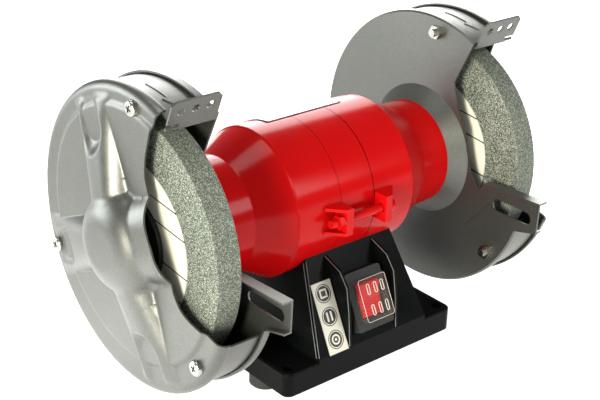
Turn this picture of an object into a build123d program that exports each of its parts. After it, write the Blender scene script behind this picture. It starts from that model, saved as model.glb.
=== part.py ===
from build123d import *
from math import cos, radians, sin, sqrt, tan
import os

# Overall layout, millimetres. X runs along the spindle, -Y faces the operator, Z is up.
axis_height = 104.0
foot_height = 8.5
sheet = 1.2
running_clearance = 0.06
free_clearance = 0.4
screw_clearance = 0.2

# Base housing
base_length = 136.0
base_depth = 133.0
base_corner = 5.0
flange_top = 23.7
panel_start = 26.0
panel_lean = 27.25
pedestal_width = 87.4
side_taper = 9.95
wall = 3.0
bench_hole_x = 61.5
bench_hole_y = 59.0
bench_hole_radius = 3.5
bench_boss_radius = 6.2
foot_x = 58.0
foot_y = 34.0
foot_radius = 9.8
foot_mouth_radius = 5.4
foot_mouth_depth = 2.0
foot_seat_height = 4.8
foot_screw_radius = 2.0
foot_head_radius = 4.0
foot_head_thickness = 2.2
foot_screw_top = 18.0
bottom_plate_bottom = 9.0
capacitor_radius = 15.0
capacitor_y = 25.0
capacitor_z = bottom_plate_bottom + sheet + 0.4 + capacitor_radius

# Switch and front panel, measured across (x) and up (s) the panel
switch_s = 24.5
bezel_width = 28.6
bezel_height = 36.5
bezel_rise = 6.0
cover_width = 22.3
cover_height = 26.6
cover_rise = 6.8
cover_wall = 0.8
cover_shift = 0.5
switch_width = 18.6
switch_length = 24.6
switch_depth = 19.0
switch_wall = 0.8
rocker_width = 16.0
rocker_length = 21.0
rocker_thickness = 7.0
rocker_pivot_rise = 4.0
rocker_pin_radius = 1.5
rocker_swing = 20.0
fin_x = 19.0
fin_thickness = 2.0
fin_depth = 12.7
fin_knee_s = 19.6
fin_knee_depth = 7.8
strip_left = -36.0
strip_right = -20.6
strip_length = 44.0
label_thickness = 0.3

# Motor
motor_radius = 46.8
motor_wall = 3.3
seam_x = 13.0
shoulder_x = 45.0
neck_x = 68.0
neck_radius = 34.5
neck_end_x = 88.5
web = 3.0
stator_half = 17.0
stator_bore = 22.0
slot_count = 12
winding_end_x = 30.0
stator_yoke = 5.0
winding_outer = motor_radius - motor_wall - stator_yoke
winding_inner = 25.5
winding_corner = 3.0
rotor_radius = stator_bore - free_clearance
cage_bar_count = 16
cage_bar_radius = 1.5
cage_pitch_radius = 18.5
cage_ring_thickness = 4.0
lug_reach = motor_radius + 10.2
lug_top = 8.5
lug_bottom = -8.5
lug_thickness = 5.0
lug_length = 14.0
tie_bolt_y = motor_radius + 6.0
tie_bolt_radius = 2.5
tie_tail_x = 27.0
saddle_screw_x = 22.0
saddle_screw_radius = 2.5
saddle_boss_height = 5.8
lead_x = -23.0
lead_y = -15.0
lead_hole_radius = 5.0
lead_radius = 1.1

# Spindle, bearings 15 x 35 x 11, wheels 150 x 16 x 12.7
bearing_bore = 7.5
bearing_outer = 17.5
bearing_width = 11.0
bearing_pitch = 12.5
ball_radius = 2.9
ball_count = 8
washer_thickness = 0.5
shaft_core_radius = 9.5
spindle_radius = 6.35
thread_radius = 5.9
spindle_end = 142.0
wheel_radius = 75.0
wheel_width = 16.0
wheel_inner_x = 109.0
blotter_radius = 48.0
blotter_thickness = 0.5
bush_radius = 9.5
flange_radius = 26.0
flange_thickness = 4.5
flange_relief = 1.2
nut_across_flats = 19.0
nut_thickness = 10.0

# Guards
guard_radius = 91.2
plate_x = 97.5
plate_rim_x = 103.0
dish_radius = 43.3
shaft_hole_radius = 12.0
cover_edge_x = 125.0
cover_roll = 5.0
band_overlap = 1.8
cover_ring_x = 131.6
cover_face_x = 133.4
cover_step_radius = 73.5
dome_x = 150.0
dome_radius = 22.5
arm_angles = (113.0, 203.0, 293.0)
front_arm_angle = 23.0
arm_half_width = 17.4
front_arm_half_width = 25.0
arm_centre_rise = 13.4
arm_tip_radius = 85.0
arm_draft = 3.4
scoop_half_width = 9.5
scoop_start = 53.0
screw_circle = 82.5
screw_angles = (84.0, 323.0, 203.0)
guard_screw_radius = 2.5
plate_screw_circle = 26.0
plate_screw_angles = (90.0, 210.0, 330.0)
band_radius = guard_radius - sheet - 0.8
band_start_angle = 64.0
band_end_angle = -21.0
tab_height = 18.5
tab_inner_x = 99.9
tab_outer_x = 132.2
tab_hole_x = 106.5
tab_hole_pitch = 9.3
tab_hole_radius = 2.5
tab_hole_height = 11.5
arm_end_y = -103.6
rest_slot_y = -82.5
rest_slot_z = -15.5
rest_slot_length = 31.0
rest_slot_width = 8.0
arm_flange_x = 104.5

spindle_axis = Axis((0, 0, axis_height), (1, 0, 0))
lean = radians(panel_lean)
panel = Plane(
    origin=(0, -base_depth / 2, panel_start),
    x_dir=(1, 0, 0),
    z_dir=(0, -cos(lean), sin(lean)),
)
rear_panel = Plane(
    origin=(0, base_depth / 2, panel_start),
    x_dir=(-1, 0, 0),
    z_dir=(0, cos(lean), sin(lean)),
)


def cross_plane(x):
    """Plane square to the spindle at x, with local axes along Y and Z from the spindle."""
    return Plane(origin=(x, 0, axis_height), x_dir=(0, 1, 0), z_dir=(1, 0, 0))


def polar(radius, angle):
    """Y and Z from the spindle; 0 degrees points to the operator, 90 degrees up."""
    return (-radius * cos(radians(angle)), radius * sin(radians(angle)))


def tube(x_from, x_to, outer, inner=0.0):
    """Plain ring or rod round the spindle axis."""
    face = Circle(outer)
    if inner > 0:
        face = face - Circle(inner)
    return extrude(cross_plane(x_from) * face, amount=x_to - x_from)


def turned(points):
    """Solid turned round the spindle from (x, radius) points."""
    flat = Plane(origin=(0, 0, axis_height), x_dir=(1, 0, 0), z_dir=(0, -1, 0))
    return revolve(flat * Polygon(*points, align=None), axis=spindle_axis)


def plate_shape(x_from, x_to, points):
    """Prism along the spindle from (y, z) points taken from the spindle."""
    face = cross_plane(x_from) * Polygon(*points, align=None)
    return extrude(face, amount=x_to - x_from, dir=(1, 0, 0))


def rod(x_from, x_to, radius, y, z):
    """Rod along X with its centre at y, z from the spindle."""
    face = cross_plane(x_from) * Pos(y, z) * Circle(radius)
    return extrude(face, amount=x_to - x_from)


def hex_nut(x_from, x_to, across_flats, bore, y=0.0, z=0.0):
    """Hexagon nut along X."""
    face = RegularPolygon(across_flats / 2, 6, major_radius=False) - Circle(bore)
    return extrude(cross_plane(x_from) * Pos(y, z) * face, amount=x_to - x_from)


def post(x, y, z_from, z_to, radius):
    """Upright rod from z_from to z_to."""
    return Pos(x, y, (z_from + z_to) / 2) * Cylinder(radius, z_to - z_from)


def on_panel(x, s, n):
    """Place on the front panel: across, up the slope and out of it."""
    return panel.location * Pos(x, s, n)


def group(*shapes):
    """Separate solids kept in one sub-part."""
    return Compound([solid for shape in shapes for solid in shape.solids()])


def left_of(shape):
    """Mirror a right-hand piece to the left side."""
    return mirror(shape, about=Plane.YZ)


def both_sides(shape):
    """A right-hand piece and its mirror image."""
    return group(shape, left_of(shape))


# ---------------------------------------------------------------- base

def tapered_block(inset, top):
    """Pedestal volume, its faces moved in by inset and cut off at the given height."""
    rise = top - panel_start
    low_x = pedestal_width / 2 - inset
    low_y = base_depth / 2 - inset / cos(lean)
    high_x = low_x - rise * tan(radians(side_taper))
    high_y = low_y - rise * tan(lean)
    lower = Plane.XY.offset(panel_start) * Rectangle(2 * low_x, 2 * low_y)
    upper = Plane.XY.offset(top) * Rectangle(2 * high_x, 2 * high_y)
    return loft([lower.face(), upper.face()])


def panel_length():
    """Length of the front panel up its slope, from its foot to the motor."""
    along = base_depth / 2 * sin(lean) + (axis_height - panel_start) * cos(lean)
    across = base_depth / 2 * cos(lean) - (axis_height - panel_start) * sin(lean)
    return along - sqrt(motor_radius**2 - across**2)


def fin(x):
    """Guard fin beside the switch, from the motor down the whole panel."""
    top = panel_length()
    outline = (
        (top - 1.8, -0.2), (top - 12.9, fin_depth - 2.3), (top - 23.6, fin_depth), (fin_knee_s, fin_knee_depth),
        (-0.4, -0.2), (1.2, -4.5),
    )
    start = Plane(origin=on_panel(x - fin_thickness / 2, 0, 0).position, x_dir=panel.y_dir, z_dir=(1, 0, 0))
    return extrude(start * Polygon(*outline, align=None), amount=fin_thickness, dir=(1, 0, 0))


def fit_base_housing():
    """Black housing: flange, pedestal, saddle, fins, bosses and all openings."""
    flange = Pos(0, 0, (foot_height + flange_top) / 2) * Box(base_length, base_depth, flange_top - foot_height)
    flange = fillet(flange.edges().filter_by(Axis.Z), base_corner)
    flange = fillet(flange.faces().sort_by(Axis.Z)[-1].edges(), 1.5)
    riser = Pos(0, 0, (flange_top + panel_start) / 2 - 1) * Box(pedestal_width, base_depth, panel_start - flange_top + 2)
    top = axis_height - 10
    outer = flange + riser + tapered_block(0, top)
    skirt = base_length / 2 - wall
    hollow = Pos(0, 0, foot_height + (flange_top - wall - foot_height) / 2) * Box(
        2 * skirt, base_depth - 2 * wall, flange_top - wall - foot_height
    )
    throat = Pos(0, 0, flange_top - 1) * Box(pedestal_width - 2 * wall, base_depth - 2 * wall, 2 * (panel_start - flange_top + wall))
    inner = hollow + throat + tapered_block(wall, top)
    reach = pedestal_width / 2
    inner = inner - tube(-reach, reach, motor_radius + wall)
    housing = outer - tube(-reach, reach, motor_radius) - inner
    for side in (-1, 1):
        housing = housing + (fin(side * fin_x) - tapered_block(wall, top))
    ceiling = flange_top - wall / 2
    for x in (-1, 1):
        for y in (-1, 1):
            housing = housing + post(x * bench_hole_x, y * bench_hole_y, foot_height, ceiling, bench_boss_radius)
            housing = housing + post(x * foot_x, y * foot_y, bottom_plate_bottom + sheet, ceiling, 5.0)
            housing = housing - post(x * bench_hole_x, y * bench_hole_y, 0, flange_top + 5, bench_hole_radius)
            housing = housing - post(x * foot_x, y * foot_y, 0, ceiling - 1.0, foot_screw_radius)
        housing = housing - post(x * saddle_screw_x, 0, foot_height, axis_height, saddle_screw_radius + screw_clearance)
    housing = housing - post(lead_x, lead_y, flange_top, axis_height - motor_radius / 2, lead_hole_radius)
    opening = on_panel(0, switch_s, 0) * Box(switch_width + 0.6, switch_length + 0.6, 4 * wall)
    housing = housing - opening
    housing = housing - rear_panel.location * Pos(0, 12.0, 0) * Cylinder(6.0 + screw_clearance, 4 * wall)
    return housing


def fit_bottom_plate():
    """Sheet floor of the base with cut corners and screw holes."""
    size_x = base_length - 2 * wall - 2 * free_clearance
    size_y = base_depth - 2 * wall - 2 * free_clearance
    plate = Pos(0, 0, bottom_plate_bottom + sheet / 2) * Box(size_x, size_y, sheet)
    for x in (-1, 1):
        for y in (-1, 1):
            corner = Pos(x * (bench_hole_x + 2.5), y * (bench_hole_y + 2.5), bottom_plate_bottom)
            plate = plate - corner * Box(19.0, 19.0, 6.0)
            plate = plate - post(x * foot_x, y * foot_y, 0, 20, foot_screw_radius + screw_clearance)
        plate = plate - post(x * 24.0, 25.0, 0, 20, 1.5)
    return plate


def fit_rubber_feet():
    """Four feet, each with a stepped recess for its screw head."""
    feet = []
    for x in (-1, 1):
        for y in (-1, 1):
            foot = post(x * foot_x, y * foot_y, 0, foot_height, foot_radius)
            foot = chamfer(foot.edges().filter_by(GeomType.CIRCLE).sort_by(Axis.Z)[0], 1.0)
            foot = foot + post(x * foot_x, y * foot_y, foot_height - 1, bottom_plate_bottom, 6.0)
            foot = foot - post(x * foot_x, y * foot_y, -1, foot_mouth_depth, foot_mouth_radius)
            foot = foot - post(x * foot_x, y * foot_y, -1, foot_seat_height, foot_head_radius + free_clearance)
            foot = foot - post(x * foot_x, y * foot_y, 0, bottom_plate_bottom + 1, foot_screw_radius + screw_clearance)
            feet.append(foot)
    return group(*feet)


def fit_foot_screws():
    """Screws through the feet and the floor into the housing."""
    screws = []
    for x in (-1, 1):
        for y in (-1, 1):
            shank = post(x * foot_x, y * foot_y, foot_seat_height - 1, foot_screw_top, foot_screw_radius)
            head_bottom = foot_seat_height - foot_head_thickness
            head = post(x * foot_x, y * foot_y, head_bottom, foot_seat_height, foot_head_radius)
            slot = Pos(x * foot_x, y * foot_y, head_bottom) * (Box(5.0, 1.0, 2.2) + Box(1.0, 5.0, 2.2))
            screws.append(head + shank - slot)
    return group(*screws)


def fit_switch_bezel():
    """Raised frame round the switch."""
    pad = on_panel(0, switch_s, bezel_rise / 2) * Box(bezel_width, bezel_height, bezel_rise)
    pad = fillet(pad.edges().filter_by(Axis(panel.origin, panel.z_dir)), 2.0)
    hole = on_panel(0, switch_s, bezel_rise / 2) * Box(switch_width + 0.6, switch_length + 0.6, 2 * bezel_rise)
    return pad - hole


def fit_switch_body():
    """Switch case with the rocker well, pivot holes and rear terminals."""
    front = bezel_rise - 0.5
    length = switch_depth + front
    case = on_panel(0, switch_s, front - length / 2) * Box(switch_width, switch_length, length)
    well_depth = front + 2.5
    well = on_panel(0, switch_s, front - well_depth / 2 + 1)
    case = case - well * Box(switch_width - 2 * switch_wall, switch_length - 2 * switch_wall, well_depth + 2)
    pin = on_panel(0, switch_s, rocker_pivot_rise) * Rot(0, 90, 0)
    case = case - pin * Cylinder(rocker_pin_radius + running_clearance, switch_width + 2)
    for x in (-5.0, 5.0):
        for s in (-8.0, 8.0):
            case = case + on_panel(x, switch_s + s, -switch_depth - 3.0) * Box(0.8, 4.8, 7.0)
    return case


def fit_rocker():
    """Red rocker in its off position, tilted about its own pins."""
    half = rocker_length / 2
    low = -rocker_thickness / 2
    high = rocker_thickness / 2
    outline = Polygon(
        (-half, low), (half, low), (half, high), (0.0, high - 1.6), (-half, high), align=None
    )
    swing = on_panel(0, switch_s, rocker_pivot_rise) * Rot(rocker_swing / 2, 0, 0)
    side = Plane(origin=(-rocker_width / 2, 0, 0), x_dir=(0, 1, 0), z_dir=(1, 0, 0))
    body = extrude(side * outline, amount=rocker_width, dir=(1, 0, 0))
    body = fillet(body.edges().filter_by(Axis.X).group_by(Axis.Z)[-1], 0.8)
    pins = Rot(0, 90, 0) * Cylinder(rocker_pin_radius, switch_width - 0.2)
    return swing * (body + pins)


def fit_switch_cover():
    """Clear cover over the rocker, resting on the bezel."""
    middle = on_panel(cover_shift, switch_s, bezel_rise + cover_rise / 2)
    outer = middle * Box(cover_width, cover_height, cover_rise)
    outer = fillet(outer.edges(), 0.7)
    inner = on_panel(cover_shift, switch_s, bezel_rise + (cover_rise - cover_wall) / 2 - 0.5)
    return outer - inner * Box(cover_width - 2 * cover_wall, cover_height - 2 * cover_wall, cover_rise - cover_wall + 1)


def fit_symbol_strip():
    """Label strip on the left of the panel."""
    width = strip_right - strip_left
    place = on_panel((strip_left + strip_right) / 2, strip_length / 2 - 0.5, label_thickness / 2)
    return place * Box(width, strip_length, label_thickness)


def fit_cable_gland():
    """Strain relief through the rear panel."""
    place = rear_panel.location * Pos(0, 12.0, 0)
    gland = place * Pos(0, 0, 2.5) * Cylinder(9.0, 5.0)
    gland = gland + place * Pos(0, 0, 8.0) * Cone(7.5, 5.5, 8.0)
    gland = gland + place * Pos(0, 0, -5.0) * Cylinder(6.0, 10.0)
    return gland - place * Cylinder(3.2, 40.0)


def fit_cable_gland_nut():
    """Lock nut of the strain relief inside the rear panel."""
    place = rear_panel.location * Pos(0, 12.0, -wall - 3.0)
    nut = RegularPolygon(9.0, 6, major_radius=False) - Circle(6.0)
    return extrude(place * nut, amount=3.0)


def fit_capacitor():
    """Motor capacitor lying across the floor."""
    can = Pos(0, capacitor_y, capacitor_z) * Rot(0, 90, 0) * Cylinder(capacitor_radius, 52.0)
    can = fillet(can.edges().filter_by(GeomType.CIRCLE), 1.5)
    for y in (-5.0, 5.0):
        can = can + Pos(26.0 + 3.0, capacitor_y + y, capacitor_z) * Box(8.0, 4.0, 0.8)
    return can


def fit_capacitor_clamp():
    """Two strap clips over the capacitor, their feet on the floor."""
    outer = capacitor_radius + 1.0
    floor = bottom_plate_bottom + sheet
    clips = []
    for x in (-24.0, 24.0):
        ring = Pos(x, capacitor_y, capacitor_z) * Rot(0, 90, 0) * (Cylinder(outer, 8.0) - Cylinder(capacitor_radius, 8.0))
        foot = Pos(x, capacitor_y, floor + 0.2) * Box(8.0, 2 * outer + 14.0, 0.4)
        legs = Pos(x, capacitor_y, (floor + capacitor_z) / 2) * Box(8.0, 2 * outer, capacitor_z - floor)
        legs = legs - Pos(x, capacitor_y, capacitor_z - 20) * Box(10.0, 2 * outer - 2.0, 40.0)
        keep = Pos(x, capacitor_y, capacitor_z + 20) * Box(10.0, 4 * outer, 40.0)
        clips.append((ring & keep) + legs + foot)
    return group(*clips)


def fit_terminal_block():
    """Terminal block on the floor under the lead hole."""
    floor = bottom_plate_bottom + sheet
    block = Pos(lead_x + 4.0, lead_y - 3.0, floor + 6.5) * Box(34.0, 16.0, 13.0)
    for i in range(4):
        place = Pos(lead_x - 8.0 + 8.0 * i, lead_y - 8.0, floor + 11.0)
        block = block - place * Cylinder(2.0, 6.0)
    return block


def fit_motor_leads():
    """Three leads from the terminal block up into the windings."""
    top = axis_height - sqrt(winding_outer**2 - lead_y**2)
    leads = []
    for i in range(3):
        turn = radians(120.0 * i + 30.0)
        x = lead_x + 1.7 * cos(turn)
        y = lead_y + 1.7 * sin(turn)
        leads.append(post(x, y, bottom_plate_bottom + sheet + 13.0, top + 1.5, lead_radius))
    return group(*leads) - tube(-winding_end_x, winding_end_x, winding_outer)


def fit_lead_grommet():
    """Grommet in the saddle for the leads."""
    height = axis_height - sqrt((motor_radius + wall) ** 2 - lead_y**2)
    ring = post(lead_x, lead_y, height - 4.0, height + 6.0, lead_hole_radius)
    ring = ring + post(lead_x, lead_y, height - 4.0, height - 1.6, lead_hole_radius + 1.8)
    return ring - post(lead_x, lead_y, height - 9.0, height + 9.0, 3.3)


def fit_saddle_screws():
    """Two screws from inside the base up into the end bells."""
    seat = axis_height - motor_radius - wall
    screws = []
    for x in (-saddle_screw_x, saddle_screw_x):
        head = post(x, 0, seat - 4.2, seat - 0.2, 4.5)
        recess = Pos(x, 0, seat - 4.2) * extrude(RegularPolygon(2.0, 6, major_radius=False), amount=2.2)
        shank = post(x, 0, seat - 1.0, axis_height - motor_radius + saddle_boss_height - 0.5, saddle_screw_radius)
        screws.append(head + shank - recess)
    return group(*screws)


# ---------------------------------------------------------------- motor

def fit_stator_shell():
    """Middle ring of the motor body."""
    ring = tube(-seam_x, seam_x, motor_radius, motor_radius - motor_wall)
    edges = ring.edges().filter_by(GeomType.CIRCLE).filter_by(lambda e: e.radius > motor_radius - 0.1)
    return chamfer(edges, 0.35)


def lug(front):
    """Tie bolt lug: plate at the seam and two tapering side walls."""
    root = motor_radius - 2.0
    side = -1 if front else 1
    plate = plate_shape(seam_x, seam_x + lug_thickness, (
        (side * root, lug_bottom), (side * lug_reach, lug_bottom), (side * lug_reach, lug_top), (side * root, lug_top)
    ))
    wedge_face = Plane(origin=(0, 0, axis_height + lug_bottom), x_dir=(1, 0, 0), z_dir=(0, 0, 1)) * Polygon(
        (seam_x, side * root), (seam_x, side * lug_reach), (seam_x + lug_thickness, side * lug_reach),
        (seam_x + lug_length, side * (motor_radius + 0.6)), (seam_x + lug_length, side * root), align=None
    )
    wedge = extrude(wedge_face, amount=lug_top - lug_bottom, dir=(0, 0, 1))
    gap = (lug_top - lug_bottom) / 2 - 1.8
    middle = axis_height + (lug_top + lug_bottom) / 2
    pocket = Pos(seam_x + lug_thickness + 10, side * (motor_radius + 10), middle) * Box(20, 20, 2 * gap)
    return plate + (wedge - pocket)


def fit_end_bell():
    """Right end bell: cylinder, cone, neck, web, bearing hub, lugs and bosses."""
    inner = motor_radius - motor_wall
    hub_start = neck_end_x - web - bearing_width - 3.5
    body = turned((
        (seam_x, inner), (seam_x, motor_radius), (shoulder_x, motor_radius), (shoulder_x + 1.0, motor_radius - 1.0),
        (neck_x - 1.0, neck_radius + 0.4), (neck_x, neck_radius), (neck_end_x, neck_radius),
        (neck_end_x, bearing_bore + free_clearance), (neck_end_x - web, bearing_bore + free_clearance),
        (neck_end_x - web, bearing_outer), (hub_start, bearing_outer), (hub_start, bearing_outer + 3.5),
        (neck_end_x - web, bearing_outer + 3.5), (neck_end_x - web, neck_radius - wall),
        (neck_x, neck_radius - wall), (shoulder_x, inner),
    ))
    for angle in plate_screw_angles:
        y, z = polar(plate_screw_circle, angle)
        boss = rod(hub_start, neck_end_x - 0.5, 5.0, y, z)
        spoke = Pos(0, 0, axis_height) * Rot(90 - angle, 0, 0) * Pos((hub_start + neck_end_x) / 2 - 0.25, 0, plate_screw_circle) * Box(
            neck_end_x - hub_start - 0.5, 3.0, 2 * (neck_radius - plate_screw_circle) - 1
        )
        body = body + (boss & tube(hub_start, neck_end_x, neck_radius - 0.5)) + spoke
    body = body - tube(hub_start - 1, neck_end_x - web, bearing_outer)
    body = body - tube(hub_start - 1, neck_end_x + 1, bearing_bore + free_clearance)
    for angle in plate_screw_angles:
        y, z = polar(plate_screw_circle, angle)
        body = body - rod(neck_end_x - 11.0, neck_end_x + 1, guard_screw_radius, y, z)
    boss_top = axis_height - motor_radius + saddle_boss_height
    boss = post(saddle_screw_x, 0, axis_height - motor_radius + 0.5, boss_top, 5.0)
    body = body + boss - post(saddle_screw_x, 0, 0, boss_top + 1, saddle_screw_radius)
    body = body + (lug(True) + lug(False) - tube(seam_x - 1, neck_x, inner))
    for side in (-1, 1):
        body = body - rod(seam_x - 1, seam_x + 30, tie_bolt_radius + screw_clearance, side * tie_bolt_y, 0)
    return body


def fit_end_bell_left():
    """Left end bell, which also has the lead hole."""
    return left_of(fit_end_bell()) - post(lead_x, lead_y, flange_top, axis_height - motor_radius / 2, lead_hole_radius)


def fit_stator_core():
    """Stator lamination pack with open slots."""
    core = tube(-stator_half, stator_half, motor_radius - motor_wall, stator_bore)
    tool = Pos(0, 0, (winding_inner + winding_outer) / 2) * Box(2 * stator_half + 2, 5.6, winding_outer - winding_inner)
    for i in range(slot_count):
        core = core - Pos(0, 0, axis_height) * Rot(360.0 / slot_count * i, 0, 0) * tool
    return core


def fit_stator_windings():
    """Both winding heads and the bars between them in the slots."""
    corner = min(winding_corner, (winding_outer - winding_inner) / 4)
    heads = turned((
        (stator_half, winding_inner), (stator_half, winding_outer), (winding_end_x - corner, winding_outer),
        (winding_end_x, winding_outer - corner), (winding_end_x, winding_inner + corner),
        (winding_end_x - corner, winding_inner),
    ))
    coil = heads + left_of(heads)
    depth = winding_outer - winding_inner - 2 * free_clearance
    bar = Pos(0, 0, (winding_inner + winding_outer) / 2) * Box(2 * stator_half + 0.4, 5.0, depth)
    for i in range(slot_count):
        coil = coil + Pos(0, 0, axis_height) * Rot(360.0 / slot_count * i, 0, 0) * bar
    return coil


def fit_tie_bolts():
    """Front and rear tie bolts, heads on the right."""
    bolts = []
    for side in (-1, 1):
        y = side * tie_bolt_y
        shank = rod(-tie_tail_x, seam_x + lug_thickness, tie_bolt_radius, y, 0)
        head = rod(seam_x + lug_thickness, seam_x + lug_thickness + 3.2, 4.2, y, 0)
        slot = Pos(seam_x + lug_thickness + 3.2, y, axis_height) * Box(2.4, 1.0, 9.0)
        bolts.append(shank + head - slot)
    return group(*bolts)


def fit_tie_nuts():
    """Nuts of the tie bolts on the left."""
    nuts = []
    for side in (-1, 1):
        outer = -seam_x - lug_thickness
        nuts.append(hex_nut(outer - 4.0, outer, 8.0, tie_bolt_radius, side * tie_bolt_y, 0))
    return group(*nuts)


def fit_rating_plate():
    """Curved rating plate on top of the motor."""
    ring = tube(-31.0, 27.0, motor_radius + label_thickness, motor_radius)
    reach = 2 * motor_radius
    sector = plate_shape(-40, 40, ((0, 0), polar(reach, 92.7), polar(reach, 132.0)))
    return ring & sector


# ---------------------------------------------------------------- spindle

def bearing_start(side):
    """Inner face of each bearing; the left one leaves room for the wave washer."""
    gap = washer_thickness if side < 0 else 0.0
    return neck_end_x - web - bearing_width - gap


def race_groove(side):
    """Ball track shared by both races."""
    middle = side * (bearing_start(side) + bearing_width / 2)
    return Pos(middle, 0, axis_height) * Rot(0, 90, 0) * Torus(bearing_pitch, ball_radius + running_clearance)


def ring_at(side, x_from, x_to, outer, inner):
    """Ring on the right, or its mirror image on the left."""
    ring = tube(x_from, x_to, outer, inner)
    return ring if side > 0 else left_of(ring)


def fit_bearing_outer_races():
    """Outer races pressed into the end bells."""
    races = []
    for side in (-1, 1):
        start = bearing_start(side)
        races.append(ring_at(side, start, start + bearing_width, bearing_outer, 14.4) - race_groove(side))
    return group(*races)


def fit_bearing_inner_races():
    """Inner races on the shaft."""
    races = []
    for side in (-1, 1):
        start = bearing_start(side)
        races.append(ring_at(side, start, start + bearing_width, 10.6, bearing_bore) - race_groove(side))
    return group(*races)


def fit_bearing_balls():
    """Balls of both bearings."""
    balls = []
    for side in (-1, 1):
        middle = side * (bearing_start(side) + bearing_width / 2)
        for i in range(ball_count):
            y, z = polar(bearing_pitch, 360.0 / ball_count * i)
            balls.append(Pos(middle, y, axis_height + z) * Sphere(ball_radius))
    return group(*balls)


def fit_bearing_shields():
    """Thin shields in the outer races."""
    shields = []
    for side in (-1, 1):
        start = bearing_start(side)
        for x in (start + 0.4, start + bearing_width - 1.0):
            shields.append(ring_at(side, x, x + 0.6, 14.4, 10.6 + free_clearance))
    return group(*shields)


def fit_wave_washer():
    """Preload washer behind the left bearing."""
    outer = neck_end_x - web
    return ring_at(-1, outer - washer_thickness, outer, bearing_outer - 0.3, 13.0)


def fit_shaft():
    """Spindle with bearing seats, wheel seats and threaded ends."""
    seat = neck_end_x - web - bearing_width
    shoulder = wheel_inner_x - blotter_thickness - flange_thickness
    thread = wheel_inner_x + wheel_width + 1.5
    right = turned((
        (0, 0), (0, shaft_core_radius), (seat, shaft_core_radius), (seat, bearing_bore), (shoulder, bearing_bore),
        (shoulder, spindle_radius), (thread, spindle_radius), (thread, thread_radius),
        (spindle_end - 1.0, thread_radius), (spindle_end, thread_radius - 1.0), (spindle_end, 0),
    ))
    left_seat = seat - washer_thickness
    left = turned((
        (0, 0), (0, shaft_core_radius), (left_seat, shaft_core_radius), (left_seat, bearing_bore), (shoulder, bearing_bore),
        (shoulder, spindle_radius), (thread, spindle_radius), (thread, thread_radius),
        (spindle_end - 1.0, thread_radius), (spindle_end, thread_radius - 1.0), (spindle_end, 0),
    ))
    return right + left_of(left)


def fit_rotor_core():
    """Rotor lamination pack with holes for the cage bars."""
    core = tube(-stator_half, stator_half, rotor_radius, shaft_core_radius)
    for i in range(cage_bar_count):
        y, z = polar(cage_pitch_radius, 360.0 / cage_bar_count * i)
        core = core - rod(-stator_half - 1, stator_half + 1, cage_bar_radius, y, z)
    return core


def fit_rotor_cage():
    """Cast cage: end rings, bars and small fan blades."""
    ring = tube(stator_half, stator_half + cage_ring_thickness, rotor_radius - 0.8, 14.0)
    cage = ring + left_of(ring)
    for i in range(cage_bar_count):
        y, z = polar(cage_pitch_radius, 360.0 / cage_bar_count * i)
        cage = cage + rod(-stator_half - 0.5, stator_half + 0.5, cage_bar_radius, y, z)
    blade = Pos(stator_half + cage_ring_thickness + 2.5, 0, 17.0) * Box(6.0, 1.4, 5.0)
    for i in range(8):
        turned_blade = Pos(0, 0, axis_height) * Rot(45.0 * i, 0, 0) * blade
        cage = cage + turned_blade + left_of(turned_blade)
    return cage


def fit_inner_flange():
    """Inner wheel flange on the shaft shoulder, relieved on the wheel side."""
    start = wheel_inner_x - blotter_thickness - flange_thickness
    end = wheel_inner_x - blotter_thickness
    return turned((
        (start, spindle_radius), (start, 12.0), (start + 1.5, flange_radius - 2.0), (start + 1.8, flange_radius),
        (end, flange_radius), (end, flange_radius - 7.0), (end - flange_relief, flange_radius - 8.0),
        (end - flange_relief, spindle_radius),
    ))


def fit_outer_flange():
    """Outer wheel flange under the nut, relieved on the wheel side."""
    start = wheel_inner_x + wheel_width + blotter_thickness
    end = start + flange_thickness
    bore = spindle_radius + 0.05
    return turned((
        (start + flange_relief, bore), (start + flange_relief, flange_radius - 8.0), (start, flange_radius - 7.0),
        (start, flange_radius), (end - 1.8, flange_radius), (end - 1.5, flange_radius - 2.0), (end, 14.0), (end, bore),
    ))


def fit_wheel():
    """Grinding wheel with a round bush hole."""
    wheel = tube(wheel_inner_x, wheel_inner_x + wheel_width, wheel_radius, bush_radius)
    rims = wheel.edges().filter_by(GeomType.CIRCLE).filter_by(lambda e: e.radius > bush_radius + 1)
    return chamfer(rims, 0.6)


def fit_wheel_bushes():
    """Bushes between wheel and spindle."""
    return both_sides(tube(wheel_inner_x, wheel_inner_x + wheel_width, bush_radius, spindle_radius))


def fit_blotters():
    """Paper discs on both sides of both wheels."""
    outer = wheel_inner_x + wheel_width
    inner_disc = tube(wheel_inner_x - blotter_thickness, wheel_inner_x, blotter_radius, bush_radius)
    outer_disc = tube(outer, outer + blotter_thickness, blotter_radius, bush_radius)
    return group(both_sides(inner_disc), both_sides(outer_disc))


def fit_spindle_nut():
    """Right spindle nut with a chamfered outer face."""
    start = wheel_inner_x + wheel_width + blotter_thickness + flange_thickness
    nut = hex_nut(start, start + nut_thickness, nut_across_flats, thread_radius)
    reach = nut_across_flats / 2
    cone = turned((
        (start, 0), (start, reach * 1.16), (start + nut_thickness - 1.0, reach * 1.16), (start + nut_thickness, reach * 1.02),
        (start + nut_thickness, 0),
    ))
    return nut & cone


# ---------------------------------------------------------------- guards

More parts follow.
